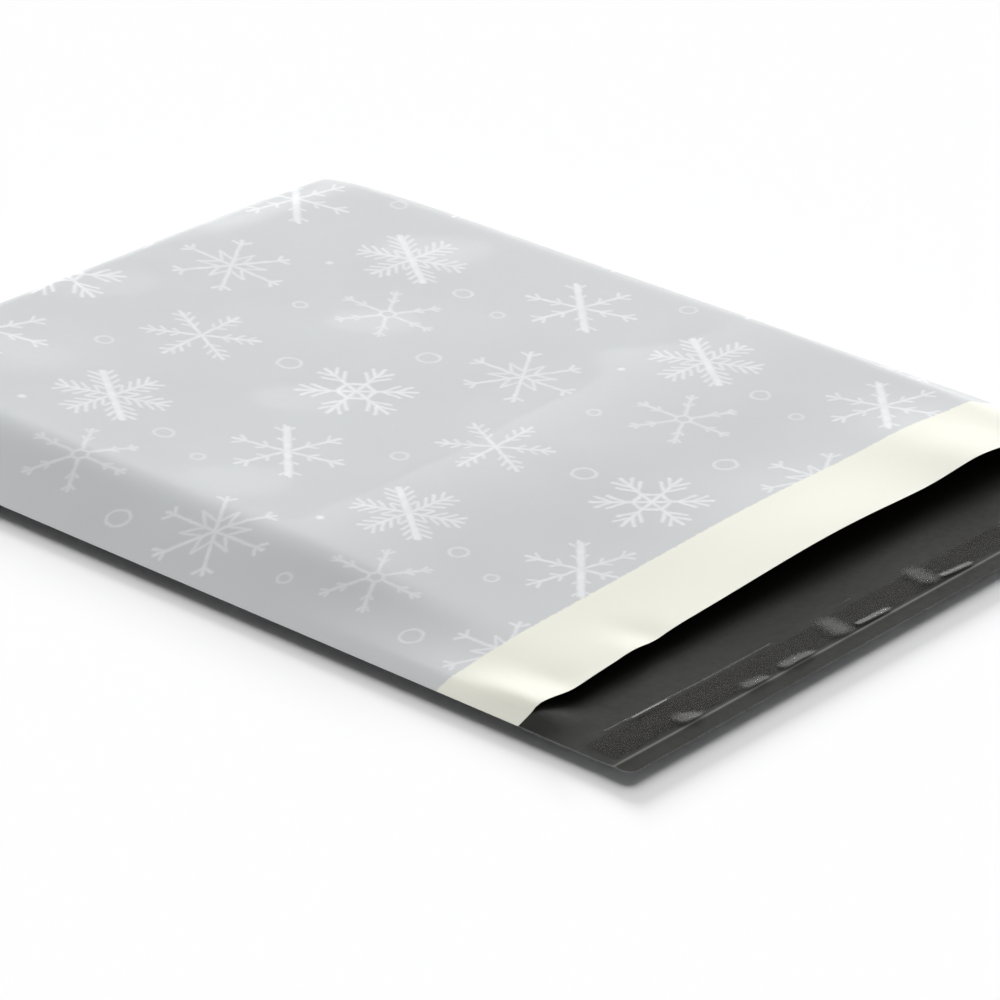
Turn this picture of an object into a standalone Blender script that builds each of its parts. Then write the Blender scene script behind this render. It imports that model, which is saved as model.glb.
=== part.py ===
# Poly mailer bag, lying flat and empty with its flap open, slightly puffed by the air inside.
#
# One web of co-extruded film makes the whole bag: it runs from the flap's end along the back panel,
# folds over at the closed end and comes back as the front panel, which stops short of the flap.
# Both long sides are heat-welded. On the flap's inner face lies a band of hot-melt adhesive
# under a clear release liner.
#
# Metres, +Z up. The origin is under the middle of the bag, on the surface it lies on. The mouth
# and the flap are toward -Y, the closed end is at +Y, and the welds run along -X and +X.

import math

import bmesh
import bpy

# Lay-flat sizes of the bag
BAG_WIDTH = 0.254
POCKET_DEPTH = 0.293
FLAP_LENGTH = 0.037
FILM_THICKNESS = 0.000062
SIDE_WELD_WIDTH = 0.005
FOLD_DEPTH = 0.0015
CORNER_RADIUS = 0.003
PRINT_FREE_BAND = 0.0278

# How the empty bag lies: its edges curl up a little, and its middle stays on the surface
EDGE_LIFT = 0.003
SIDE_LIFT_RUN = 0.026
CLOSED_END_LIFT_RUN = 0.024
FLAP_LIFT_RUN = 0.065
FLAP_SAG = 0.0006

# How the air inside lifts the front panel off the back panel
PUFF_HEIGHT = 0.0122
LIP_HEIGHT = 0.0056
MOUTH_TAPER = 0.125
LEFT_SLOPE_RUN = 0.0205
LEFT_SLOPE_SPREAD = 0.36
RIGHT_SLOPE_RUN = 0.0120
CLOSED_END_SLOPE_RUN = 0.0130
LIP_SLOPE_RUN = 0.016
MOUTH_TILT = 0.0010
LIP_FULLNESS = 0.8
LIP_ROUNDING = 0.55
SHOULDER_ROUNDING = 0.28
LIP_PULL_BACK = 0.003
CLOSED_END_BOW = 0.0015

# The wave in the free edge of the mouth, measured from the bag's middle
LIP_WAVE_REACH = 0.032
LIP_DIP_X = -0.071
LIP_DIP_WIDTH = 0.018
LIP_DIP_DEPTH = 0.0028
LIP_SWELL_X = 0.052
LIP_SWELL_WIDTH = 0.050
LIP_SWELL_HEIGHT = 0.0014

# Closure on the flap's inner face
LINER_EDGE_MARGIN = 0.0056
LINER_SIDE_MARGIN = 0.001
LINER_WIDTH = 0.0138
LINER_THICKNESS = 0.00005
ADHESIVE_WIDTH = 0.010
ADHESIVE_END_MARGIN = 0.004
ADHESIVE_THICKNESS = 0.00006
SEAT_GAP = 0.0003

# Cells along each stretch of the film
CORNER_ROWS = 2
FLAP_ROWS = 5
BAND_ROWS = 4
BODY_ROWS = 26
SHOULDER_CELLS = 4
INNER_COLUMNS = 24
CLOSURE_COLUMNS = 30

HALF_WIDTH = BAG_WIDTH / 2
FLAP_END_Y = -(POCKET_DEPTH + FLAP_LENGTH) / 2
MOUTH_Y = FLAP_END_Y + FLAP_LENGTH
CLOSED_Y = MOUTH_Y + POCKET_DEPTH
FOLD_Y = CLOSED_Y - FOLD_DEPTH
PRINT_EDGE_Y = MOUTH_Y + PRINT_FREE_BAND
WELD_INNER_X = HALF_WIDTH - SIDE_WELD_WIDTH


def clear_scene():
    for ob in list(bpy.data.objects):
        bpy.data.objects.remove(ob)


def plastic(name, colour, roughness, alpha=1.0):
    material = bpy.data.materials.new(name)
    material.use_nodes = True
    shader = material.node_tree.nodes["Principled BSDF"]
    shader.inputs["Base Color"].default_value = (*colour, 1.0)
    shader.inputs["Roughness"].default_value = roughness
    shader.inputs["Metallic"].default_value = 0.0
    shader.inputs["Alpha"].default_value = alpha
    return material


def eased(share):
    """0 to 1 along a smooth S."""
    share = min(max(share, 0.0), 1.0)
    return share * share * (3 - 2 * share)


def slope_then_level(distance, run, fullness, rounding):
    """0 at a seam, rising to 1 over about the run, with a rounded shoulder."""
    share = (max(distance, 0.0) / run) ** fullness
    overlap = max(rounding - abs(share - 1), 0.0) / rounding
    return min(share, 1.0) - overlap * overlap * rounding / 4


def bump(offset, width):
    return math.exp(-((offset / width) ** 2))


def underside_z(x, y):
    """Height of the back panel's outer face: flat in the middle, curled up at every edge."""
    side = 1 - eased((HALF_WIDTH - abs(x)) / SIDE_LIFT_RUN)
    closed = 1 - eased((CLOSED_Y - y) / CLOSED_END_LIFT_RUN)
    flap = 1 - eased((y - FLAP_END_Y) / FLAP_LIFT_RUN)
    lift = EDGE_LIFT * (1 - (1 - side) * (1 - closed) * (1 - flap))
    across = 1 - (x / HALF_WIDTH) ** 2
    along = eased((MOUTH_Y - y) / FLAP_LENGTH) * eased((y - FLAP_END_Y) / FLAP_LENGTH) * 4
    return lift - FLAP_SAG * across * along


def side_share(distance, run, lift, seam_lift):
    """Share of the full puff at a distance from a seam. The front panel climbs evenly from the seam to a
    soft shoulder, so the underside's own lift is taken off."""
    rise = seam_lift + (PUFF_HEIGHT - seam_lift) * slope_then_level(distance, run, 1.0, SHOULDER_ROUNDING)
    return max(rise - lift, 0.0) / PUFF_HEIGHT


def mouth_wave(x):
    """The free edge's dip near one corner and its swell across the middle."""
    dip = LIP_DIP_DEPTH * bump(x - LIP_DIP_X, LIP_DIP_WIDTH)
    swell = LIP_SWELL_HEIGHT * bump(x - LIP_SWELL_X, LIP_SWELL_WIDTH)
    return swell - dip


def puff(x, y):
    """Inner height of the pocket, from the back panel up to the front panel."""
    depth = y - MOUTH_Y
    inside = eased(depth / MOUTH_TAPER)
    past_band = eased(depth / PRINT_FREE_BAND)
    shape = side_share(FOLD_Y - y, CLOSED_END_SLOPE_RUN, underside_z(0.0, y), underside_z(0.0, FOLD_Y))
    lift, seam_lift = underside_z(x, 0.0), underside_z(WELD_INNER_X, 0.0)
    left_run = LEFT_SLOPE_RUN * (1 + LEFT_SLOPE_SPREAD * (1 - inside))
    for from_weld, run in ((WELD_INNER_X + x, left_run), (WELD_INNER_X - x, RIGHT_SLOPE_RUN)):
        at_lip = slope_then_level(from_weld, LIP_SLOPE_RUN, LIP_FULLNESS, LIP_ROUNDING)
        shape *= at_lip + (side_share(from_weld, run, lift, seam_lift) - at_lip) * past_band
    level = LIP_HEIGHT + (PUFF_HEIGHT - LIP_HEIGHT) * inside
    level += MOUTH_TILT * x / HALF_WIDTH * (1 - inside)
    wave = mouth_wave(x) * math.exp(-((depth / LIP_WAVE_REACH) ** 2))
    return (level + wave) * shape


def corner_inset(y):
    """How far a side edge stands in where it rounds into an end edge."""
    from_end = min(y - FLAP_END_Y, CLOSED_Y - y)
    short = max(CORNER_RADIUS - from_end, 0.0)
    return CORNER_RADIUS - math.sqrt(CORNER_RADIUS ** 2 - short ** 2)


def stations(start, stop, cells):
    return [start + (stop - start) * i / cells for i in range(cells)]


def corner_stations():
    """Distances from an end edge that follow its rounded corner."""
    turns = [math.pi / 2 * i / CORNER_ROWS for i in range(CORNER_ROWS)]
    return [CORNER_RADIUS * (1 - math.cos(turn)) for turn in turns]


def film_rows():
    """Places along the web, from the flap's end to the fold, and the row that is the mouth."""
    rows = [FLAP_END_Y + d for d in corner_stations()]
    rows += stations(FLAP_END_Y + CORNER_RADIUS, MOUTH_Y, FLAP_ROWS)
    mouth_row = len(rows)
    rows += stations(MOUTH_Y, PRINT_EDGE_Y, BAND_ROWS)
    shoulder_y = FOLD_Y - CLOSED_END_SLOPE_RUN * 1.25
    rows += stations(PRINT_EDGE_Y, shoulder_y, BODY_ROWS)
    rows += stations(shoulder_y, CLOSED_Y - CORNER_RADIUS, SHOULDER_CELLS)
    ends = [CLOSED_Y - CORNER_RADIUS] + [CLOSED_Y - d for d in reversed(corner_stations())]
    rows += sorted(set(ends) | {FOLD_Y})
    return rows, mouth_row


def film_columns():
    shoulder_x = WELD_INNER_X - RIGHT_SLOPE_RUN * 1.25
    inner = stations(-WELD_INNER_X, shoulder_x, INNER_COLUMNS)
    inner += stations(shoulder_x, WELD_INNER_X, SHOULDER_CELLS)
    return [-HALF_WIDTH] + inner + [WELD_INNER_X, HALF_WIDTH]


def slab(bm, columns, rows, place):
    """A closed slab over the given columns and rows, each vertex put where place says.

    Returns its lower and its upper faces, each under its cell's column and row."""
    wide, long = len(columns) - 1, len(rows) - 1
    grid = bmesh.ops.create_grid(bm, x_segments=wide, y_segments=long, size=0.5)
    sheet = list({face for vert in grid["verts"] for face in vert.link_faces})
    raised = bmesh.ops.extrude_face_region(bm, geom=sheet, use_keep_orig=True)["geom"]
    raised_faces = [item for item in raised if isinstance(item, bmesh.types.BMFace)]
    on_top = {item for item in raised if isinstance(item, bmesh.types.BMVert)}

    def by_cell(faces):
        middles = [(face, face.calc_center_median()) for face in faces]
        return {(int((m.x + 0.5) * wide), int((m.y + 0.5) * long)): f for f, m in middles}

    lower, upper = by_cell(sheet), by_cell(raised_faces)
    for vert in {vert for face in sheet + raised_faces for vert in face.verts}:
        x = columns[round((vert.co.x + 0.5) * wide)]
        y = rows[round((vert.co.y + 0.5) * long)]
        vert.co = place(x, y, vert in on_top)
    return lower, upper


def in_plan(x, y):
    """Plan position of a film point, with rounded corners and the closed end's slight bow."""
    narrowed = x * (HALF_WIDTH - corner_inset(y)) / HALF_WIDTH
    bow = CLOSED_END_BOW * (1 - (x / HALF_WIDTH) ** 2) * eased(1 - (CLOSED_Y - y) / BAG_WIDTH)
    return narrowed, y - bow


def place_back(x, y, on_top):
    """A point of the back panel, which runs on as the flap."""
    return *in_plan(x, y), underside_z(x, y) + FILM_THICKNESS * on_top


def place_front(x, y, on_top):
    """A point of the front panel: on the back panel at the welds and the fold, puffed between."""
    plan_x, plan_y = in_plan(x, y)
    across = max(1 - (x / WELD_INNER_X) ** 2, 0.0)
    pulled = LIP_PULL_BACK * across * max(FOLD_Y - y, 0.0) / POCKET_DEPTH
    seat = underside_z(x, y) + FILM_THICKNESS
    return plan_x, plan_y + pulled, seat + puff(x, y) + FILM_THICKNESS * on_top


def paint(faces, slot):
    for face in faces:
        face.material_index = slot


def finish_object(bm, name, materials):
    """Turns the faces outward, shades the film smooth up to its cut edges and adds the object."""
    bmesh.ops.recalc_face_normals(bm, faces=bm.faces)
    mesh = bpy.data.meshes.new(name)
    bm.to_mesh(mesh)
    bm.free()
    for material in materials:
        mesh.materials.append(material)
    mesh.shade_smooth()
    mesh.set_sharp_from_angle(angle=math.radians(40))
    ob = bpy.data.objects.new(name, mesh)
    bpy.context.collection.objects.link(ob)
    return ob


def bag_film():
    """Back panel with flap, fold, front panel and side welds, as one piece of film."""
    bm = bmesh.new()
    rows, mouth_row = film_rows()
    columns = film_columns()
    back_outer, back_inner = slab(bm, columns, rows, place_back)
    front_inner, front_outer = slab(bm, columns, rows[mouth_row:], place_front)

    paint(back_inner.values(), 2)
    paint(front_inner.values(), 2)
    paint([face for (_, row), face in front_outer.items() if row < BAND_ROWS], 1)

    fold_row = rows.index(FOLD_Y)
    welds = 0, len(columns) - 2

    def fused(column, row):
        return row >= mouth_row and (column in welds or row >= fold_row)

    buried = [face for cell, face in back_inner.items() if fused(*cell)]
    buried += [face for (c, r), face in front_inner.items() if fused(c, r + mouth_row)]
    bmesh.ops.delete(bm, geom=buried, context="FACES")
    bmesh.ops.remove_doubles(bm, verts=bm.verts, dist=FILM_THICKNESS / 50)

    printed = plastic("printed_grey_film", (0.63, 0.66, 0.67), 0.35)
    plain = plastic("unprinted_white_film", (0.87, 0.87, 0.80), 0.3)
    dark = plastic("dark_inner_film", (0.065, 0.065, 0.058), 0.35)
    return finish_object(bm, "bag_film", [printed, plain, dark])


def closure_strip(name, middle_y, width, end_margin, height, thickness, material):
    """A thin strip along the flap's inner face that follows the film's lie."""
    half = HALF_WIDTH - end_margin
    columns = stations(-half, half, CLOSURE_COLUMNS) + [half]
    rows = [middle_y - width / 2, middle_y, middle_y + width / 2]

    def place(x, y, on_top):
        return x, y, underside_z(x, y) + FILM_THICKNESS + height + thickness * on_top

    bm = bmesh.new()
    slab(bm, columns, rows, place)
    return finish_object(bm, name, [material])


def build():
    clear_scene()
    bag_film()
    middle_y = FLAP_END_Y + LINER_EDGE_MARGIN + LINER_WIDTH / 2
    closure_strip(
        "adhesive_strip",
        middle_y,
        ADHESIVE_WIDTH,
        ADHESIVE_END_MARGIN,
        SEAT_GAP,
        ADHESIVE_THICKNESS,
        plastic("clear_hot_melt", (0.55, 0.50, 0.38), 0.4, alpha=0.35),
    )
    closure_strip(
        "release_liner",
        middle_y,
        LINER_WIDTH,
        LINER_SIDE_MARGIN,
        SEAT_GAP + ADHESIVE_THICKNESS + SEAT_GAP,
        LINER_THICKNESS,
        plastic("clear_liner_film", (0.75, 0.75, 0.73), 0.15, alpha=0.3),
    )


build()
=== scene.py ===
# %% [markdown]
# # A printed poly mailer bag
# The bag is one web of plastic film, folded once and welded along both long sides. It lies empty and
# slightly puffed, with its flap open, on a white floor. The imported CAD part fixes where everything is.
# This lesson dresses it: a finer film with its small creases, the print, the closure strip and the light.

# %% Load the part
import math

import bmesh
import bpy
from mathutils import Matrix, Vector


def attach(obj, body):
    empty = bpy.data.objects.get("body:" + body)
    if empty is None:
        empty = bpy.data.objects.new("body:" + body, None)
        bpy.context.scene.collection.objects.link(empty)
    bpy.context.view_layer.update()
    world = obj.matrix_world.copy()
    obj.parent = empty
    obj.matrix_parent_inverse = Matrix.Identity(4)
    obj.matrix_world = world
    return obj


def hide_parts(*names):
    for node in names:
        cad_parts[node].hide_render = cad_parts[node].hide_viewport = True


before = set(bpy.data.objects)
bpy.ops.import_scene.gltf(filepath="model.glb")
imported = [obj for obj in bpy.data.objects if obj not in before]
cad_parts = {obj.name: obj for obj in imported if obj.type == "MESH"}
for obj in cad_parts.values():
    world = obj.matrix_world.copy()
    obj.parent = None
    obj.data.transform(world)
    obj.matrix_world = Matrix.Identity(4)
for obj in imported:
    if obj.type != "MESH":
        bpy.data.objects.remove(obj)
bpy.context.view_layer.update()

print("CAD nodes", sorted(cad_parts))

# %% [markdown]
# ## The camera
# A product picture of a flat bag is taken from a low height, so that the open mouth shows. The camera is
# placed by two turns about the point it looks at and a small roll, and a long lens keeps the edges
# nearly parallel. Its axes are built by hand, because that gives the roll exactly.

# %% Camera
CAMERA_TURN, CAMERA_HEIGHT, CAMERA_ROLL = (math.radians(d) for d in (-50.7054, 25.3531, 2.0686))
CAMERA_AIM = Vector((-0.021926, -0.033302, 0.0))
CAMERA_DISTANCE = 1.305432

backward = Vector((
    math.sin(CAMERA_TURN) * math.cos(CAMERA_HEIGHT),
    -math.cos(CAMERA_TURN) * math.cos(CAMERA_HEIGHT),
    math.sin(CAMERA_HEIGHT),
))
sideways = Vector((math.cos(CAMERA_TURN), math.sin(CAMERA_TURN), 0.0))
upward = backward.cross(sideways)
rolled_x = sideways * math.cos(CAMERA_ROLL) + upward * math.sin(CAMERA_ROLL)
rolled_y = upward * math.cos(CAMERA_ROLL) - sideways * math.sin(CAMERA_ROLL)

camera = bpy.data.objects.new("camera", bpy.data.cameras.new("camera"))
bpy.context.scene.collection.objects.link(camera)
camera.data.sensor_width = 36.0
camera.data.lens = 165.357
camera.data.clip_end = 20.0
camera.matrix_world = Matrix.Translation(CAMERA_AIM + backward * CAMERA_DISTANCE) @ Matrix(
    (rolled_x, rolled_y, backward)
).transposed().to_4x4()
bpy.context.scene.camera = camera
print("camera at", [round(value, 3) for value in camera.matrix_world.translation])

# %% [markdown]
# ## The lie of the film
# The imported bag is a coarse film. To catch the light as film does, its surface needs small cells and
# shallow creases, so it is made again at a finer pitch from the same formulas: an underside that curls
# up at its edges, and a front panel that the air inside lifts off it. A modelled surface was chosen over
# a cloth simulation, because a thin stiff film keeps the folds it was packed with, and these are known.

# %% Sizes of the bag
BAG_WIDTH, POCKET_DEPTH, FLAP_LENGTH = 0.254, 0.293, 0.037
FILM_THICKNESS, SIDE_WELD_WIDTH, FOLD_DEPTH, CORNER_RADIUS = 0.000062, 0.005, 0.0015, 0.003
HALF_WIDTH = BAG_WIDTH / 2
FLAP_END_Y = -(POCKET_DEPTH + FLAP_LENGTH) / 2
MOUTH_Y = FLAP_END_Y + FLAP_LENGTH
CLOSED_Y = MOUTH_Y + POCKET_DEPTH
FOLD_Y = CLOSED_Y - FOLD_DEPTH
WELD_INNER_X = HALF_WIDTH - SIDE_WELD_WIDTH
PRINT_FREE_BAND = 0.0278
PRINT_EDGE_Y = MOUTH_Y + PRINT_FREE_BAND


# %% Curves that the film follows
def eased(share):
    """0 to 1 along a smooth S."""
    share = min(max(share, 0.0), 1.0)
    return share * share * (3 - 2 * share)


def bump(offset, width):
    return math.exp(-((offset / width) ** 2))


def slope_then_level(distance, run, fullness, rounding):
    """0 at a seam, rising to 1 over about the run, with a rounded shoulder."""
    share = (max(distance, 0.0) / run) ** fullness
    overlap = max(rounding - abs(share - 1), 0.0) / rounding
    return min(share, 1.0) - overlap * overlap * rounding / 4


# %% The underside, curled up at every edge
EDGE_LIFT, FLAP_SAG = 0.003, 0.0006
SIDE_LIFT_RUN, CLOSED_END_LIFT_RUN, FLAP_LIFT_RUN = 0.026, 0.024, 0.065


def underside_z(x, y):
    side = 1 - eased((HALF_WIDTH - abs(x)) / SIDE_LIFT_RUN)
    closed = 1 - eased((CLOSED_Y - y) / CLOSED_END_LIFT_RUN)
    flap = 1 - eased((y - FLAP_END_Y) / FLAP_LIFT_RUN)
    lift = EDGE_LIFT * (1 - (1 - side) * (1 - closed) * (1 - flap))
    across = 1 - (x / HALF_WIDTH) ** 2
    along = eased((MOUTH_Y - y) / FLAP_LENGTH) * eased((y - FLAP_END_Y) / FLAP_LENGTH) * 4
    return lift - FLAP_SAG * across * along


# %% The film slopes up across each weld, and the closed corners lie lower
WELD_RISE, CORNER_DROP = 0.0024, 0.0032
RISE_RUN, RISE_FADE, RISE_END_ON_FLAP, CORNER_REACH = 0.006, 0.018, 0.016, 0.034


def seam_relief(x, y):
    from_side = HALF_WIDTH - abs(x)
    rise = WELD_RISE * min(from_side / RISE_RUN, 1.0) * (1 - eased((from_side - RISE_RUN) / RISE_FADE))
    from_corner = math.hypot(from_side, CLOSED_Y - y)
    drop = CORNER_DROP * (1 - eased(from_corner / CORNER_REACH))
    return rise * (1 - eased((MOUTH_Y - y) / RISE_END_ON_FLAP)) - drop


# %% The puffed front panel
PUFF_HEIGHT, LIP_HEIGHT, MOUTH_TAPER, MOUTH_TILT = 0.0122, 0.0062, 0.110, 0.0010
LEFT_SLOPE_RUN, RIGHT_SLOPE_RUN, CLOSED_END_SLOPE_RUN = 0.0215, 0.0118, 0.0130
LEFT_SHOULDER, HIDDEN_SHOULDER = 0.26, 0.12
# How much wider or narrower the side slopes get, as shares of their runs.
LEFT_WIDER_AT_MOUTH, RIGHT_NARROWER_AT_MOUTH, RIGHT_WIDER_AT_CORNER, WIDER_REACH = 0.24, 0.45, 0.32, 0.035
LIP_SLOPE_RUN, RIGHT_LIP_RUN, LIP_FULLNESS, LIP_SHOULDER = 0.017, 0.010, 0.8, 0.55
LIP_SWELL_REACH, LIP_KINK_REACH, LIP_PULL_BACK, CLOSED_END_BOW = 0.032, 0.010, 0.003, 0.0012


def mouth_wave(x, depth):
    """The free edge's two swells, and a small kink near one corner that ends sooner."""
    swells = 0.0023 * bump(x - 0.015, 0.045) + 0.0025 * bump(x - 0.082, 0.018)
    kink = 0.0006 * bump(x + 0.068, 0.006) - 0.0004 * bump(x + 0.078, 0.006)
    kink += 0.0005 * bump(x + 0.100, 0.010)
    return swells * bump(depth, LIP_SWELL_REACH) - kink * bump(depth, LIP_KINK_REACH)


def slope_up(level, distance, run, rounding, under, seam):
    """Inner height at a distance from a seam, 0 outside it. The front climbs evenly from the seam to its
    level and ends in a soft shoulder, so what the underside is lifted there is taken off."""
    if distance <= 0:
        return 0.0
    return max(seam + (level - seam) * slope_then_level(distance, run, 1.0, rounding) - under, 0.0)


def puff(x, y):
    """Inner height of the pocket, from the back panel up to the front panel."""
    depth = y - MOUTH_Y
    inside = eased(depth / MOUTH_TAPER)
    past_band = eased(depth / PRINT_FREE_BAND)
    level = LIP_HEIGHT + (PUFF_HEIGHT - LIP_HEIGHT) * inside + MOUTH_TILT * x / HALF_WIDTH * (1 - inside)
    level += mouth_wave(x, depth)
    lift, seam = (underside_z(place, 0.0) + seam_relief(place, 0.0) for place in (x, WELD_INNER_X))
    end_lift, end_seam = underside_z(0.0, y), underside_z(0.0, FOLD_Y)
    shape = slope_up(level, FOLD_Y - y, CLOSED_END_SLOPE_RUN, HIDDEN_SHOULDER, end_lift, end_seam) / level
    left_run = LEFT_SLOPE_RUN * (1 + LEFT_WIDER_AT_MOUTH * (1 - inside))
    right_share = 1 - RIGHT_NARROWER_AT_MOUTH * (1 - inside)
    right_run = RIGHT_SLOPE_RUN * (right_share + RIGHT_WIDER_AT_CORNER * bump(CLOSED_Y - y, WIDER_REACH))
    sides = (-1, left_run, LEFT_SHOULDER, LIP_SLOPE_RUN), (1, right_run, HIDDEN_SHOULDER, RIGHT_LIP_RUN)
    for side, run, rounding, lip_run in sides:
        from_weld = WELD_INNER_X - side * x
        at_lip = slope_then_level(from_weld, lip_run, LIP_FULLNESS, LIP_SHOULDER)
        past = slope_up(level, from_weld, run, rounding, lift if side * x > 0 else 0.0, seam) / level
        shape *= at_lip + (past - at_lip) * past_band
    return level * shape


print("height in the middle", round(puff(0, 0) * 1000, 2), "mm")
print("height at the lip", round(puff(0, MOUTH_Y) * 1000, 2), "mm")

# %% [markdown]
# ## Small folds
# What makes film look like film is the shallow relief on top of that lie: slack waves, soft creases and
# a ridge along the closed end, and a low ridge beside the left weld. Each is under a millimetre high.
# They are added as smooth functions of place, so that they fade out toward the welds and the fold.


# %% Creases in the front panel
def crease(x, y, start, end, width, height):
    """A soft ridge (or groove, with a negative height) along a line, fading at both ends."""
    run_x, run_y = end[0] - start[0], end[1] - start[1]
    length = math.hypot(run_x, run_y)
    along = ((x - start[0]) * run_x + (y - start[1]) * run_y) / length
    aside = ((x - start[0]) * run_y - (y - start[1]) * run_x) / length
    ends = eased(along / (0.3 * length)) * eased((length - along) / (0.3 * length))
    return height * bump(aside, width) * ends


SLACK_WAVE, EDGE_RIDGE = 0.00014, 0.0002
EDGE_RIDGE_PLACE, EDGE_RIDGE_WIDTH, EDGE_RIDGE_LENGTH = 0.0035, 0.0025, 0.045
# Each is a start, an end, a half-width and a height.
FRONT_CREASES = [
    ((-0.122, 0.1600), (-0.050, 0.1280), 0.0030, -0.0004),
    ((0.004, 0.1570), (0.108, 0.1560), 0.0042, 0.0009),
    ((0.040, 0.1495), (0.116, 0.1480), 0.0045, -0.0008),
]


def front_relief(x, y):
    waves = SLACK_WAVE * math.sin(x * 47 + y * 21 + 0.6) * math.sin(y * 33 - x * 14)
    ridge = EDGE_RIDGE * bump(WELD_INNER_X + x - EDGE_RIDGE_PLACE, EDGE_RIDGE_WIDTH)
    total = waves + ridge * (1 - eased((y - MOUTH_Y) / EDGE_RIDGE_LENGTH))
    for start, end, width, height in FRONT_CREASES:
        total += crease(x, y, start, end, width, height)
    hold = eased((WELD_INNER_X - abs(x)) / 0.006) * eased((FOLD_Y - y) / 0.008)
    return total * hold


# %% The flap's stiff margin
LINER_EDGE_MARGIN, LINER_SIDE_MARGIN, LINER_WIDTH = 0.0056, 0.001, 0.0138
MARGIN_RIDGE_Y = FLAP_END_Y + LINER_EDGE_MARGIN
MARGIN_RIDGE, FLAP_SLACK = 0.00022, 0.0002


def flap_relief(x, y):
    """A shallow ridge along the liner's outer edge, and slack waves across the flap."""
    ridge = MARGIN_RIDGE * bump(y - MARGIN_RIDGE_Y, 0.0012)
    slack = FLAP_SLACK * math.sin(x * 60 + 0.8)
    return ridge + slack * eased((MOUTH_Y - y) / 0.012) * eased((y - MARGIN_RIDGE_Y) / 0.006)


# %% Where a point of the film lies
def corner_inset(y):
    """How far a side edge stands in where it rounds into an end edge."""
    short = max(CORNER_RADIUS - min(y - FLAP_END_Y, CLOSED_Y - y), 0.0)
    return CORNER_RADIUS - math.sqrt(CORNER_RADIUS ** 2 - short ** 2)


def in_plan(x, y):
    """Plan position, with rounded corners and the closed end's slight bow."""
    bow = CLOSED_END_BOW * (1 - (x / HALF_WIDTH) ** 2) * eased(1 - (CLOSED_Y - y) / BAG_WIDTH)
    return x * (HALF_WIDTH - corner_inset(y)) / HALF_WIDTH, y - bow


def place_back(x, y, on_top):
    relief = seam_relief(x, y) + (flap_relief(x, y) if y < MOUTH_Y else 0.0)
    return *in_plan(x, y), underside_z(x, y) + relief + FILM_THICKNESS * on_top


def place_front(x, y, on_top):
    plan_x, plan_y = in_plan(x, y)
    across = max(1 - (x / WELD_INNER_X) ** 2, 0.0)
    pulled = LIP_PULL_BACK * across * max(FOLD_Y - y, 0.0) / POCKET_DEPTH
    seat = underside_z(x, y) + seam_relief(x, y) + FILM_THICKNESS
    return plan_x, plan_y + pulled, seat + puff(x, y) + front_relief(x, y) + FILM_THICKNESS * on_top


# %% [markdown]
# ## Three maps for the film
# The print was laid on while the film was still flat, so the web map gives each point its place on the
# flat web, in metres: across the bag, and along the web from the mouth over the fold to the flap's end.
# The web stretched a little unevenly as it was printed, so the motifs have a map of their own, shifted by
# a slow curve. The third map gives every face its own place in a square, for a painted copy of the
# finish, with most room for the front.

# %% Map of the print
PRINT_STRETCH = (
    (0.004677, -0.003640, 0.013855, -0.004761, 0.007395),
    (0.004143, 0.001976, 0.022189, -0.005512, -0.003436),
)


def printed_at(x, web_y):
    """Place on the printed web. Past the fold the stretch keeps its value at the fold."""
    across, along = x / HALF_WIDTH, min(web_y, CLOSED_Y) / 0.165
    terms = (across ** 2, across * along, along ** 2, along ** 3, across * along ** 2)
    shift_x, shift_y = (sum(share * term for share, term in zip(row, terms)) for row in PRINT_STRETCH)
    return x - shift_x, web_y - shift_y


# %% Map for a painted copy: each panel's corner in the square and its scale
PANELS = {
    "front_outer": (0.003, 0.003, 2.78),
    "front_inner": (0.718, 0.362, 1.07),
    "back_outer": (0.718, 0.003, 1.07),
    "back_inner": (0.718, 0.680, 1.0),
    "flap_inner": (0.003, 0.823, 2.78),
}
FLAP_PANEL_END = -0.105


def painted_at(panel, x, y):
    left, low, scale = PANELS[panel]
    first_rows = {"front_outer": MOUTH_Y, "front_inner": MOUTH_Y, "back_inner": FLAP_PANEL_END}
    first_y = first_rows.get(panel, FLAP_END_Y)
    return left + (x + HALF_WIDTH) * scale, low + (y - first_y) * scale


# %% [markdown]
# ## The film
# A grid is extruded by the film's thickness and its points are moved to where the film lies. The back
# panel runs on as the flap, the front panel is a second sheet, and where they are welded the faces
# between them are taken out and the points merged, so that the bag is one skin. The rows are closer
# where the film bends more.

# %% Rows and columns of cells
CELL, CLOSER_ROWS = 0.00205, 0.04


def stations(start, stop, cell):
    cells = max(1, round((stop - start) / cell))
    return [start + (stop - start) * step / cells for step in range(cells)]


corner_steps = [CORNER_RADIUS * (1 - math.cos(math.pi / 2 * step / 4)) for step in range(4)]
film_columns = [-HALF_WIDTH] + stations(-WELD_INNER_X, WELD_INNER_X, CELL) + [WELD_INNER_X, HALF_WIDTH]
film_rows = [FLAP_END_Y + step for step in corner_steps]
film_rows += stations(FLAP_END_Y + CORNER_RADIUS, MOUTH_Y, 0.0012)
mouth_row = len(film_rows)
film_rows += stations(MOUTH_Y, FLAP_PANEL_END, 0.0016)
film_rows += stations(FLAP_PANEL_END, CLOSED_Y - CLOSER_ROWS, CELL * 1.05)
film_rows += stations(CLOSED_Y - CLOSER_ROWS, CLOSED_Y - CORNER_RADIUS, 0.0015)
film_rows += sorted({CLOSED_Y - CORNER_RADIUS, FOLD_Y} | {CLOSED_Y - step for step in corner_steps})
print(len(film_columns), "columns,", len(film_rows), "rows")


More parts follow.
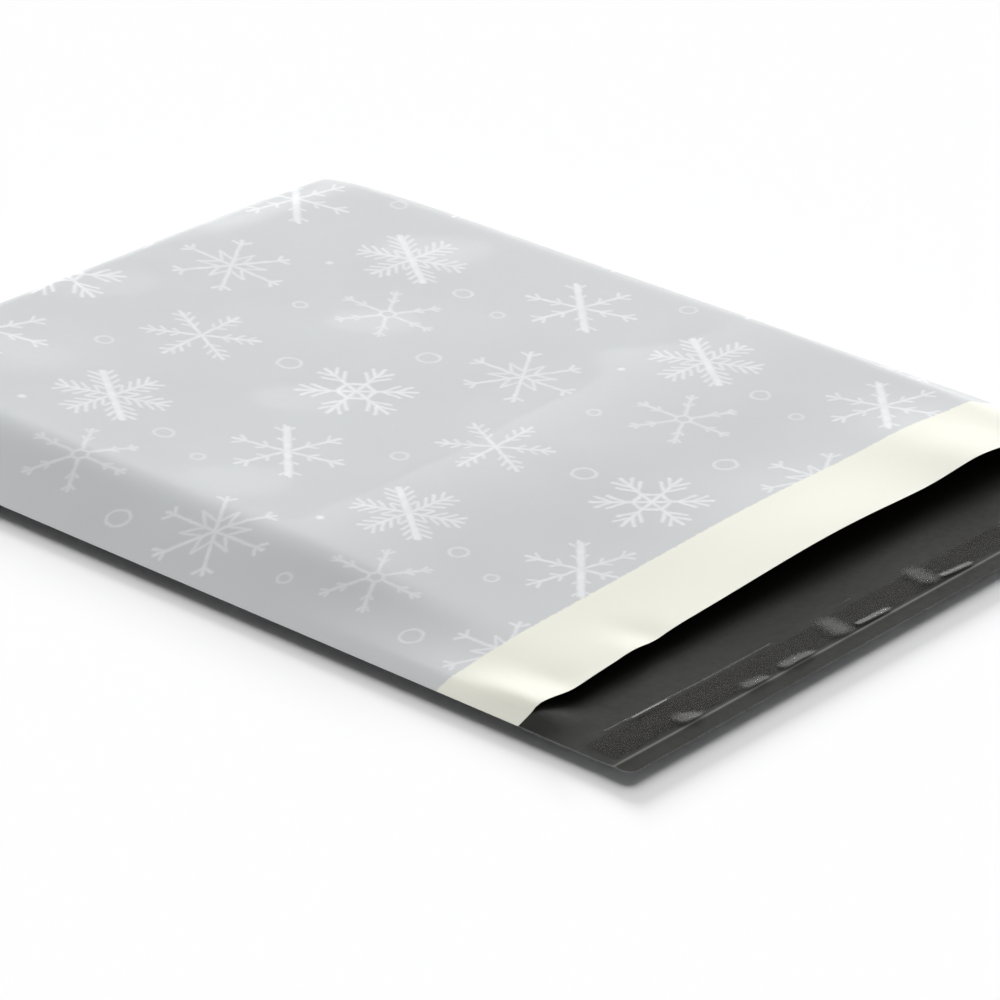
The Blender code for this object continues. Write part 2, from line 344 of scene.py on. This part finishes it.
# %% A slab of film with its maps
def slab(bm, columns, rows, place, panels, past_fold=False):
    """A closed slab. Returns its lower and upper faces, each under its cell's column and row."""
    wide, long = len(columns) - 1, len(rows) - 1
    print_map, web_map, paint_map = (bm.loops.layers.uv[key] for key in ("print", "web", "OFBake"))
    grid = bmesh.ops.create_grid(bm, x_segments=wide, y_segments=long, size=0.5)
    sheet = list({face for vert in grid["verts"] for face in vert.link_faces})
    raised = bmesh.ops.extrude_face_region(bm, geom=sheet, use_keep_orig=True)["geom"]
    raised_faces = [item for item in raised if isinstance(item, bmesh.types.BMFace)]
    on_top = {item for item in raised if isinstance(item, bmesh.types.BMVert)}
    edge_faces = list({face for vert in on_top for face in vert.link_faces} - set(raised_faces))

    def station(vert):
        return columns[round((vert.co.x + 0.5) * wide)], rows[round((vert.co.y + 0.5) * long)]

    def by_cell(faces):
        middles = [(face, face.calc_center_median()) for face in faces]
        return {(int((m.x + 0.5) * wide), int((m.y + 0.5) * long)): face for face, m in middles}

    for faces, panel in ((sheet, panels[0]), (raised_faces, panels[1]), (edge_faces, panels[1])):
        for face in faces:
            middle_y = sum(station(vert)[1] for vert in face.verts) / len(face.verts)
            own = "flap_inner" if panel == "back_inner" and middle_y < FLAP_PANEL_END else panel
            for loop in face.loops:
                x, y = station(loop.vert)
                web_y = 2 * CLOSED_Y - y if past_fold else y
                loop[print_map].uv = printed_at(x, web_y)
                loop[web_map].uv = x, web_y
                loop[paint_map].uv = painted_at(own, x, y)
    lower, upper = by_cell(sheet), by_cell(raised_faces)
    for vert in {vert for face in sheet + raised_faces for vert in face.verts}:
        vert.co = place(*station(vert), vert in on_top)
    return lower, upper


# %% Finish a mesh
def finish_piece(bm, name, materials):
    """Turns the faces outward, shades the film smooth up to its cut edges and adds the object."""
    bmesh.ops.recalc_face_normals(bm, faces=bm.faces)
    mesh = bpy.data.meshes.new(name)
    bm.to_mesh(mesh)
    bm.free()
    for material in materials:
        mesh.materials.append(material)
    mesh.shade_smooth()
    mesh.set_sharp_from_angle(angle=math.radians(40))
    piece = bpy.data.objects.new(name, mesh)
    bpy.context.scene.collection.objects.link(piece)
    print(name, "has", sum(len(face.vertices) - 2 for face in mesh.polygons), "triangles")
    return piece


# %% Weld the two panels into one bag
def welded_film(materials):
    bm = bmesh.new()
    for name in ("print", "web", "OFBake"):
        bm.loops.layers.uv.new(name)
    back_outer, back_inner = slab(bm, film_columns, film_rows, place_back, ("back_outer", "back_inner"), True)
    front_rows = film_rows[mouth_row:]
    front_inner, front_outer = slab(bm, film_columns, front_rows, place_front, ("front_inner", "front_outer"))
    for face in list(back_inner.values()) + list(front_inner.values()):
        face.material_index = 1
    fold_row = film_rows.index(FOLD_Y)
    welds = 0, len(film_columns) - 2

    def fused(column, row):
        return row >= mouth_row and (column in welds or row >= fold_row)

    buried = [face for cell, face in back_inner.items() if fused(*cell)]
    buried += [face for (column, row), face in front_inner.items() if fused(column, row + mouth_row)]
    bmesh.ops.delete(bm, geom=buried, context="FACES")
    bmesh.ops.remove_doubles(bm, verts=bm.verts, dist=FILM_THICKNESS / 50)
    return finish_piece(bm, "film", materials)


# %% [markdown]
# ## Colours and nodes
# Colours are written as the eye sees them, in hex, and turned to the linear values that a shader works
# with. One helper adds a node with its settings and links, and one blends two colours.


# %% Helpers for materials
def linear(hex_colour):
    shares = [int(hex_colour[place:place + 2], 16) / 255 for place in (1, 3, 5)]
    return [s / 12.92 if s <= 0.04045 else ((s + 0.055) / 1.055) ** 2.4 for s in shares] + [1.0]


def add(tree, kind, *inputs, out=0, **settings):
    """Adds one node. The inputs are values or sockets for its first input sockets, None to skip one."""
    node = tree.nodes.new(kind)
    for name, value in settings.items():
        setattr(node, name, value)
    for socket, given in zip(node.inputs, inputs):
        if isinstance(given, bpy.types.NodeSocket):
            tree.links.new(given, socket)
        elif given is not None:
            socket.default_value = given
    return node.outputs[out]


def blend(tree, share, first, second):
    """The first colour where the share is 0, the second where it is 1."""
    mix = add(tree, "ShaderNodeMix", share, data_type="RGBA").node
    for socket, colour in ((mix.inputs[6], first), (mix.inputs[7], second)):
        if isinstance(colour, bpy.types.NodeSocket):
            tree.links.new(colour, socket)
        else:
            socket.default_value = colour
    return mix.outputs[2]


def new_material(name):
    material = bpy.data.materials.new(name)
    material.use_nodes = True
    return material, material.node_tree, material.node_tree.nodes["Principled BSDF"]


# %% [markdown]
# ## The print
# The print repeats across the web in slanted rows: six kinds of snowflake, rings and dots.
# One shader draws them all. It finds the place within the repeat, folds the plane into one twelfth of a
# flake, and measures how far a point is from a few straight strokes there.

# %% Repeat of the print, in millimetres on the flat web
REPEAT_ALONG, REPEAT_ACROSS = Vector((3.70, -111.75, 0.0)), Vector((-138.34, -5.31, 0.0))
repeat_area = REPEAT_ALONG.x * REPEAT_ACROSS.y - REPEAT_ALONG.y * REPEAT_ACROSS.x
SHARE_ALONG = Vector((REPEAT_ACROSS.y, -REPEAT_ACROSS.x, 0.0)) / repeat_area
SHARE_ACROSS = Vector((-REPEAT_ALONG.y, REPEAT_ALONG.x, 0.0)) / repeat_area
print("one repeat covers", round(abs(repeat_area) / 100, 1), "square cm")


# %% Strokes and rings
def stroke(tree, point, start, end, width):
    """How far a point is outside a straight stroke with round ends."""
    run = Vector((end[0] - start[0], end[1] - start[1], 0.0))
    offset = add(tree, "ShaderNodeVectorMath", point, (*start, 0.0), operation="SUBTRACT")
    along = add(tree, "ShaderNodeVectorMath", offset, run, operation="DOT_PRODUCT", out="Value")
    share = add(tree, "ShaderNodeMath", along, 1 / run.length_squared, operation="MULTIPLY", use_clamp=True)
    foot = add(tree, "ShaderNodeVectorMath", run, None, None, share, operation="SCALE")
    apart = add(tree, "ShaderNodeVectorMath", offset, foot, operation="DISTANCE", out="Value")
    return add(tree, "ShaderNodeMath", apart, width / 2, operation="SUBTRACT")


def place_in_repeat(tree, shares, centre, turn):
    """Millimetres from the nearest copy of a motif's centre, turned with the motif."""
    at = Vector((SHARE_ALONG.dot(Vector((*centre, 0.0))), SHARE_ACROSS.dot(Vector((*centre, 0.0))), 0.0))
    back = Matrix.Rotation(-math.radians(turn), 3, "Z")
    shifted = add(tree, "ShaderNodeVectorMath", shares, Vector((0.5, 0.5, 0.0)) - at, operation="ADD")
    wrapped = add(tree, "ShaderNodeVectorMath", shifted, operation="FRACTION")
    nearest = add(tree, "ShaderNodeVectorMath", wrapped, (0.5, 0.5, 0.0), operation="SUBTRACT")
    split = add(tree, "ShaderNodeSeparateXYZ", nearest).node
    along = add(tree, "ShaderNodeVectorMath", back @ REPEAT_ALONG, None, None, split.outputs["X"],
                operation="SCALE")
    across = add(tree, "ShaderNodeVectorMath", back @ REPEAT_ACROSS, None, None, split.outputs["Y"],
                 operation="SCALE")
    return add(tree, "ShaderNodeVectorMath", along, across, operation="ADD")


def folded(tree, point):
    """One twelfth of the plane, with an arm of the flake along x."""
    split = add(tree, "ShaderNodeSeparateXYZ", point).node
    angle = add(tree, "ShaderNodeMath", split.outputs["Y"], split.outputs["X"], operation="ARCTAN2")
    angle = add(tree, "ShaderNodeMath", angle, math.pi / 6, operation="PINGPONG")
    radius = add(tree, "ShaderNodeVectorMath", point, operation="LENGTH", out="Value")
    cosine = add(tree, "ShaderNodeMath", angle, operation="COSINE")
    x = add(tree, "ShaderNodeMath", cosine, radius, operation="MULTIPLY")
    sine = add(tree, "ShaderNodeMath", angle, operation="SINE")
    y = add(tree, "ShaderNodeMath", sine, radius, operation="MULTIPLY")
    return add(tree, "ShaderNodeCombineXYZ", x, y, 0.0)


# %% [markdown]
# Each flake is listed by its centre, its turn, how dense its ink is, how thick its one bold bar is (0 for
# none) and its strokes in the folded part: the arm along x, then the barbs that leave it, and for some
# half a side of the hexagon round the middle.

# %% The motifs
FLAKES = {
    "fern": ((68.2, 77.0), 54.3, 0.95, 2.3, [
        ((0, 0), (16.6, 0), 1.1), ((3.6, 0), (6.6, 3.5), 0.8), ((6.6, 0), (10.2, 3.9), 0.8),
        ((9.6, 0), (13.4, 3.9), 0.9), ((12.8, 0), (16.4, 3.2), 0.9),
    ]),
    "bar": ((77.9, 18.0), 44.8, 0.95, 2.3, [
        ((0, 0), (17.8, 0), 1.1), ((13.6, 0), (16.2, 2.7), 0.8), ((6.4, 0), (8.7, 2.3), 0.8),
    ]),
    "thin": ((33.0, 56.4), 31.0, 0.7, 0.0, [
        ((2.5, 0), (16.4, 0), 1.1), ((13.8, 0), (15.6, 1.6), 0.9), ((8.6, 0), (10.6, 1.5), 0.9),
        ((2.5, 0), (1.88, 1.08), 1.0),
    ]),
    "star": ((23.5, 110.5), 31.7, 0.85, 0.0, [
        ((0, 0), (18.0, 0), 1.1), ((15.2, 0), (17.2, 2.6), 1.0), ((3.8, 0), (8.8, 5.1), 0.8),
    ]),
    "barbed": ((-19.8, 83.4), 3.5, 0.9, 0.0, [
        ((0, 0), (17.4, 0), 1.1), ((13.4, 0), (15.6, 2.3), 0.8), ((9.8, 0), (12.4, 2.8), 0.8),
        ((6.2, 0), (8.4, 2.3), 0.7),
    ]),
    "branched": ((-15.3, 26.6), 12.7, 1.0, 0.0, [
        ((0, 0), (17.6, 0), 1.2), ((11.4, 0), (16.2, 3.3), 1.0), ((7.6, 0), (12.8, 4.0), 1.0),
        ((5.6, 0), (4.2, 2.42), 1.3),
    ]),
}
# Rings and dots: centre, radius, how dense the ink is.
RINGS = [
    ((-14.9, 53.2), 3.5, 0.8), ((17.8, 27.3), 3.4, 0.8), ((60.9, 50.3), 2.8, 0.75),
    ((-43.7, 99.3), 2.5, 0.7), ((56.3, 32.9), 2.0, 0.7), ((18.4, 78.4), 2.0, 0.7),
]
DOTS = [((47.5, 92.3), 1.1, 0.9)]
BAR_END, RING_HALF_LINE = (16.2, -0.4), 0.35


# %% Draw the print
def print_ink(tree, place):
    """How much pale ink lies on the film, 0 to 1. It trembles and thins a little, as soft ink does."""
    tremble = add(tree, "ShaderNodeTexNoise", place, None, 0.35, 2.0, noise_dimensions="3D", out="Color")
    tremble = add(tree, "ShaderNodeVectorMath", tremble, (0.5, 0.5, 0.5), operation="SUBTRACT")
    tremble = add(tree, "ShaderNodeVectorMath", tremble, None, None, 1.1, operation="SCALE")
    shaky = add(tree, "ShaderNodeVectorMath", place, tremble, operation="ADD")
    along = add(tree, "ShaderNodeVectorMath", shaky, SHARE_ALONG, operation="DOT_PRODUCT", out="Value")
    across = add(tree, "ShaderNodeVectorMath", shaky, SHARE_ACROSS, operation="DOT_PRODUCT", out="Value")
    shares = add(tree, "ShaderNodeCombineXYZ", along, across, 0.0)
    ink = None

    def lay(outside, density):
        nonlocal ink
        edge = add(tree, "ShaderNodeMath", outside, -1.0, 0.5, operation="MULTIPLY_ADD", use_clamp=True)
        amount = add(tree, "ShaderNodeMath", edge, density, operation="MULTIPLY")
        ink = amount if ink is None else add(tree, "ShaderNodeMath", ink, amount, operation="MAXIMUM")

    for centre, turn, density, bar, strokes in FLAKES.values():
        whole = place_in_repeat(tree, shares, centre, turn)
        point = folded(tree, whole)
        outside = stroke(tree, whole, (-BAR_END[0], -BAR_END[1]), BAR_END, bar) if bar else None
        for start, end, width in strokes:
            one = stroke(tree, point, start, end, width)
            if outside is not None:
                one = add(tree, "ShaderNodeMath", outside, one, operation="MINIMUM")
            outside = one
        lay(outside, density)
    for centre, size, density in RINGS:
        point = place_in_repeat(tree, shares, centre, 0)
        radius = add(tree, "ShaderNodeVectorMath", point, operation="LENGTH", out="Value")
        off = add(tree, "ShaderNodeMath", radius, size, operation="SUBTRACT")
        off = add(tree, "ShaderNodeMath", off, operation="ABSOLUTE")
        lay(add(tree, "ShaderNodeMath", off, RING_HALF_LINE, operation="SUBTRACT"), density)
    for centre, size, density in DOTS:
        point = place_in_repeat(tree, shares, centre, 0)
        radius = add(tree, "ShaderNodeVectorMath", point, operation="LENGTH", out="Value")
        lay(add(tree, "ShaderNodeMath", radius, size, operation="SUBTRACT"), density)
    patches = add(tree, "ShaderNodeTexNoise", place, None, 0.22, 2.0, noise_dimensions="3D")
    patches = add(tree, "ShaderNodeMapRange", patches, 0.3, 0.7, 0.68, 1.0)
    return add(tree, "ShaderNodeMath", ink, patches, operation="MULTIPLY")


# %% [markdown]
# ## Printed film
# Mailing film is low-density polyethylene, blown in two layers, white outside and dark inside, then
# printed. It has a satin surface with a faint orange-peel from blowing. IOR 1.51 is typical for it, and
# the roughness is matched to its soft highlights.

# %% Printed outside of the film
def printed_film():
    material, tree, shader = new_material("blown_polyethylene_film_printed")
    web = add(tree, "ShaderNodeUVMap", uv_map="print")
    place = add(tree, "ShaderNodeVectorMath", web, None, None, 1000.0, operation="SCALE")
    ink = print_ink(tree, place)

    cloud = add(tree, "ShaderNodeTexNoise", place, None, 1 / 45, 2.0, noise_dimensions="3D")
    grey = blend(tree, cloud, linear("#c3c5c7"), linear("#cdd0d1"))
    inked = blend(tree, ink, grey, linear("#ebecef"))

    ragged = add(tree, "ShaderNodeTexNoise", place, None, 0.6, 1.0, noise_dimensions="3D")
    flat = add(tree, "ShaderNodeUVMap", uv_map="web")
    past_edge = add(tree, "ShaderNodeSeparateXYZ", flat).node.outputs["Y"]
    past_edge = add(tree, "ShaderNodeMath", past_edge, 1000.0, -1000 * PRINT_EDGE_Y, operation="MULTIPLY_ADD")
    past_edge = add(tree, "ShaderNodeMath", ragged, 0.9, past_edge, operation="MULTIPLY_ADD")
    printed = add(tree, "ShaderNodeMath", past_edge, 2.0, -0.4, operation="MULTIPLY_ADD", use_clamp=True)
    colour = blend(tree, printed, linear("#ebebdf"), inked)
    tree.links.new(colour, shader.inputs["Base Color"])

    where = add(tree, "ShaderNodeTexCoord", out="Object")
    peel = add(tree, "ShaderNodeTexNoise", where, None, 450.0, 2.0, noise_dimensions="3D")
    rough = add(tree, "ShaderNodeMapRange", peel, 0.3, 0.7, 0.30, 0.40)
    tree.links.new(rough, shader.inputs["Roughness"])
    relief = add(tree, "ShaderNodeBump", 0.25, 0.0001, None, peel)
    tree.links.new(relief, shader.inputs["Normal"])
    shader.inputs["IOR"].default_value = 1.51
    shader.inputs["Specular IOR Level"].default_value = 0.35
    return material


# %% Dark inside of the film
def dark_film():
    material, tree, shader = new_material("blown_polyethylene_film_dark_layer")
    where = add(tree, "ShaderNodeTexCoord", out="Object")
    cloud = add(tree, "ShaderNodeTexNoise", where, None, 30.0, 2.0, noise_dimensions="3D")
    colour = blend(tree, cloud, linear("#1c1c19"), linear("#252521"))
    # Painted highlight: a pale line painted along the ridge at the flap's margin, standing in for the light
    # that ridge catches.
    web = add(tree, "ShaderNodeUVMap", uv_map="web")
    from_painted_ridge = add(tree, "ShaderNodeVectorMath", web, (0.0, 1.0, 0.0), operation="DOT_PRODUCT", out="Value")
    from_painted_ridge = add(tree, "ShaderNodeMath", from_painted_ridge, MARGIN_RIDGE_Y - 2 * CLOSED_Y, operation="ADD")
    from_painted_ridge = add(tree, "ShaderNodeMath", from_painted_ridge, operation="ABSOLUTE")
    painted_ridge_highlight = add(tree, "ShaderNodeMapRange", from_painted_ridge, 0.0001, 0.0007, 0.4, 0.0,
               interpolation_type="SMOOTHSTEP")
    colour = blend(tree, painted_ridge_highlight, colour, linear("#8a8a84"))
    tree.links.new(colour, shader.inputs["Base Color"])
    peel = add(tree, "ShaderNodeTexNoise", where, None, 450.0, 2.0, noise_dimensions="3D")
    rough = add(tree, "ShaderNodeMapRange", peel, 0.3, 0.7, 0.36, 0.46)
    tree.links.new(rough, shader.inputs["Roughness"])
    relief = add(tree, "ShaderNodeBump", 0.25, 0.0001, None, peel)
    tree.links.new(relief, shader.inputs["Normal"])
    shader.inputs["IOR"].default_value = 1.51
    shader.inputs["Specular IOR Level"].default_value = 0.12
    return material


film = welded_film([printed_film(), dark_film()])

# %% [markdown]
# ## The closure
# A band of hot-melt adhesive runs along the flap under a clear release liner. The liner is thin and a
# little too long for the flap, so it has puckers along its outer edge. Where it bends, its glints and
# highlights are painted into its colour as pale streaks, and only there does it show. Where it lies flat
# it can't be seen. The adhesive is nearly as clear, and takes the colour of the dark flap under it.

# %% Painted glints and highlights on the liner, in millimetres: start, end, width, soft edge, how much they show
PAINTED_LINER_GLINTS = [
    ((-114.0, -145.8), (-72.0, -146.4), 0.1, 0.5, 0.22), ((-103.0, -146.3), (-89.0, -146.4), 0.2, 0.5, 0.6),
    ((-72.0, -146.4), (-44.0, -146.0), 0.1, 0.5, 0.2), ((-15.1, -144.9), (-7.3, -145.2), 0.4, 0.6, 0.9),
    ((24.1, -144.6), (29.9, -144.8), 0.4, 0.6, 0.9), ((64.0, -144.8), (68.5, -145.0), 0.3, 0.6, 0.7),
    ((-23.6, -150.4), (-25.8, -155.6), 1.4, 5.0, 0.27), ((-19.0, -157.0), (-7.0, -157.6), 0.5, 1.4, 0.45),
    ((17.6, -149.6), (15.8, -154.6), 1.3, 4.8, 0.25), ((20.6, -156.4), (32.0, -157.6), 0.5, 1.4, 0.45),
    ((-95.0, -156.5), (-92.0, -158.4), 1.4, 3.4, 0.32),
    ((-68.5, -157.4), (-63.0, -158.6), 1.2, 2.6, 0.28), ((-52.0, -157.6), (-43.0, -158.6), 1.2, 3.0, 0.30),
    ((60.0, -152.0), (57.0, -156.0), 1.6, 4.0, 0.20), ((96.0, -154.0), (101.0, -157.0), 1.4, 3.6, 0.20),
]


# %% Clear liner and adhesive materials
def liner_film():
    material, tree, shader = new_material("cast_polyester_liner_film")
    where = add(tree, "ShaderNodeTexCoord", out="Object")
    place = add(tree, "ShaderNodeVectorMath", where, None, None, 1000.0, operation="SCALE")
    level = add(tree, "ShaderNodeVectorMath", place, (1.0, 1.0, 0.0), operation="MULTIPLY")
    painted_glint = None
    for start, end, width, soft, amount in PAINTED_LINER_GLINTS:
        outside = stroke(tree, level, start, end, width)
        shows = add(tree, "ShaderNodeMapRange", outside, 0.0, soft, amount, 0.0,
                    interpolation_type="SMOOTHSTEP")
        painted_glint = shows if painted_glint is None else add(tree, "ShaderNodeMath", painted_glint, shows, operation="MAXIMUM")
    # Painted glints and highlights: pale streaks where the liner bends, the only places where the liner is
    # opaque.
    tint = blend(tree, painted_glint, linear("#21211e"), linear("#a8a8a3"))
    tree.links.new(tint, shader.inputs["Base Color"])
    crinkle = add(tree, "ShaderNodeTexNoise", where, None, 160.0, 3.0, noise_dimensions="3D")
    rough = add(tree, "ShaderNodeMapRange", crinkle, 0.3, 0.7, 0.22, 0.30)
    tree.links.new(rough, shader.inputs["Roughness"])
    shows_through = add(tree, "ShaderNodeMath", painted_glint, 1.4, operation="MULTIPLY", use_clamp=True)
    tree.links.new(shows_through, shader.inputs["Alpha"])
    shader.inputs["IOR"].default_value = 1.55
    shader.inputs["Specular IOR Level"].default_value = 0.3
    return material


def hot_melt():
    material, tree, shader = new_material("slot_coated_hot_melt_adhesive")
    where = add(tree, "ShaderNodeTexCoord", out="Object")
    streaks = add(tree, "ShaderNodeMapping", where, None, None, (20.0, 900.0, 400.0))
    flow = add(tree, "ShaderNodeTexNoise", streaks, None, 1.0, 2.0, noise_dimensions="3D")
    tint = blend(tree, flow, linear("#22211e"), linear("#2a2924"))
    tree.links.new(tint, shader.inputs["Base Color"])
    shader.inputs["Roughness"].default_value = 0.4
    shader.inputs["IOR"].default_value = 1.49
    shader.inputs["Specular IOR Level"].default_value = 0.12
    shader.inputs["Alpha"].default_value = 0.15
    relief = add(tree, "ShaderNodeBump", 0.3, 0.0001, None, flow)
    tree.links.new(relief, shader.inputs["Normal"])
    return material


# %% Puckers in the liner: place along it, half-width, height
PUCKERS = [
    (-0.094, 0.009, 0.0004), (-0.066, 0.008, 0.0003), (-0.048, 0.009, 0.0004), (-0.025, 0.010, 0.0004),
    (0.016, 0.009, 0.0004), (0.058, 0.012, 0.0004), (0.098, 0.010, 0.0004),
]


def liner_relief(x, y):
    """Triangular puckers that stand off the flap at the liner's outer edge and close half-way across."""
    outward = min(max((FLAP_END_Y + LINER_EDGE_MARGIN + LINER_WIDTH - y) / LINER_WIDTH, 0.0), 1.0)
    total = 0.0
    for middle, half, height in PUCKERS:
        reach = half * (0.15 + 0.85 * outward)
        total += height * max(1 - abs(x - middle) / reach, 0.0) * outward ** 1.5
    return total


# %% Strips along the flap
ADHESIVE_WIDTH, ADHESIVE_END_MARGIN, ADHESIVE_THICKNESS = 0.010, 0.004, 0.00006
LINER_THICKNESS, SEAT_GAP = 0.00005, 0.0003


def flap_strip(name, width, end_margin, height, thickness, cell, relief, material):
    """A thin strip along the flap, at a height above the film, with its own relief on top."""
    middle_y = FLAP_END_Y + LINER_EDGE_MARGIN + LINER_WIDTH / 2
    half = HALF_WIDTH - end_margin
    columns = stations(-half, half, cell) + [half]
    rows = stations(middle_y - width / 2, middle_y + width / 2, cell) + [middle_y + width / 2]
    bm = bmesh.new()
    wide, long = len(columns) - 1, len(rows) - 1
    sheet = bmesh.ops.create_grid(bm, x_segments=wide, y_segments=long, size=0.5)["verts"]
    faces = list({face for vert in sheet for face in vert.link_faces})
    raised = bmesh.ops.extrude_face_region(bm, geom=faces, use_keep_orig=True)["geom"]
    on_top = {item for item in raised if isinstance(item, bmesh.types.BMVert)}
    for vert in bm.verts:
        x = columns[round((vert.co.x + 0.5) * wide)]
        y = rows[round((vert.co.y + 0.5) * long)]
        z = underside_z(x, y) + flap_relief(x, y) + FILM_THICKNESS + height + relief(x, y)
        vert.co = x, y, z + thickness * (vert in on_top)
    return finish_piece(bm, name, [material])


def no_relief(x, y):
    return 0.0


liner = flap_strip("liner", LINER_WIDTH, LINER_SIDE_MARGIN, 2 * SEAT_GAP + ADHESIVE_THICKNESS,
                   LINER_THICKNESS, 0.001, liner_relief, liner_film())
adhesive = flap_strip("adhesive", ADHESIVE_WIDTH, ADHESIVE_END_MARGIN, SEAT_GAP,
                      ADHESIVE_THICKNESS, 0.002, no_relief, hot_melt())

# %% Put the pieces on the part
for piece, node, slot in ((film, "bag_film", "printed_film"), (liner, "release_liner", "liner_film"),
                          (adhesive, "adhesive_strip", "hot_melt")):
    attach(piece, "root")
    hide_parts(node)
    print(piece.name, "stands for", node)

# %% [markdown]
# ## Floor and light
# The bag lies on a plain white floor. A soft sun from the far right and a broad one from the far left
# light the level film fully and leave the near slope darker. The floor has two suns of its own, one low
# and one broad, because a low light draws the long dark shadow that a thin bag needs beside its edges.
# The surroundings give a little more light from the far side, and look white in every reflection.

# %% White floor
bm = bmesh.new()
bmesh.ops.create_grid(bm, x_segments=2, y_segments=2, size=1.5)
floor_mesh = bpy.data.meshes.new("floor")
bm.to_mesh(floor_mesh)
bm.free()
floor_material, floor_tree, floor_shader = new_material("matt_white_board")
floor_shader.inputs["Roughness"].default_value = 0.9
floor_shader.inputs["Specular IOR Level"].default_value = 0.0
floor_shader.inputs["Base Color"].default_value = linear("#fafafa")
floor_path = add(floor_tree, "ShaderNodeLightPath").node
floor_seen = add(floor_tree, "ShaderNodeMath", floor_path.outputs["Is Camera Ray"],
                 floor_path.outputs["Is Glossy Ray"], operation="MAXIMUM")
floor_seen = add(floor_tree, "ShaderNodeMath", floor_seen, floor_path.outputs["Is Transmission Ray"],
                 operation="MAXIMUM")
floor_glow = add(floor_tree, "ShaderNodeMath", floor_seen, 0.01, operation="MULTIPLY")
floor_shader.inputs["Emission Color"].default_value = (1.0, 1.0, 1.0, 1.0)
floor_tree.links.new(floor_glow, floor_shader.inputs["Emission Strength"])
floor_mesh.materials.append(floor_material)
floor = bpy.data.objects.new("floor", floor_mesh)
bpy.context.scene.collection.objects.link(floor)

# %% Sun lamps
def lit_group(name, pieces):
    group = bpy.data.collections.new(name)
    for piece in pieces:
        group.objects.link(piece)
    return group


def sun_lamp(name, turn, height, share, spread, lights):
    """A soft sun that gives the level ones of its pieces a share of their light, with no mirror image."""
    turn, height = math.radians(turn), math.radians(height)
    lamp = bpy.data.objects.new(name, bpy.data.lights.new(name, "SUN"))
    bpy.context.scene.collection.objects.link(lamp)
    lamp.data.energy = share * math.pi / math.sin(height)
    lamp.data.angle = math.radians(spread)
    lamp.visible_glossy = False
    lamp.light_linking.receiver_collection = lights
    toward = Vector((math.cos(turn) * math.cos(height), math.sin(turn) * math.cos(height), math.sin(height)))
    lamp.rotation_euler = toward.to_track_quat("Z", "Y").to_euler()


bag_group = lit_group("bag_group", (film, liner, adhesive))
floor_group = lit_group("floor_group", (floor,))
sun_lamp("key_light", 36, 18, 0.47, 26, bag_group)
sun_lamp("fill_light", 150, 42, 0.38, 40, bag_group)
sun_lamp("low_floor_light", 52, 12, 0.33, 11, floor_group)
sun_lamp("high_floor_light", 38, 38, 0.56, 56, floor_group)

# %% Surroundings
FAR_SIDE = Vector((0.74, 0.67, 0.0))
world = bpy.data.worlds.new("white_room")
bpy.context.scene.world = world
world.use_nodes = True
tree = world.node_tree
direction = add(tree, "ShaderNodeTexCoord", out="Generated")
behind = add(tree, "ShaderNodeVectorMath", direction, FAR_SIDE, operation="DOT_PRODUCT", out="Value")
strength = add(tree, "ShaderNodeMapRange", behind, -1.0, 1.0, 0.02, 0.26)
path = add(tree, "ShaderNodeLightPath").node
seen = add(tree, "ShaderNodeMath", path.outputs["Is Camera Ray"], path.outputs["Is Glossy Ray"],
           operation="MAXIMUM")
seen = add(tree, "ShaderNodeMath", seen, path.outputs["Is Transmission Ray"], operation="MAXIMUM")
strength = add(tree, "ShaderNodeMix", seen, None, strength, 1.0, data_type="FLOAT")
background = tree.nodes["Background"]
background.inputs["Color"].default_value = (1.0, 1.0, 1.0, 1.0)
tree.links.new(strength, background.inputs["Strength"])

bpy.context.scene.view_settings.view_transform = "Standard"
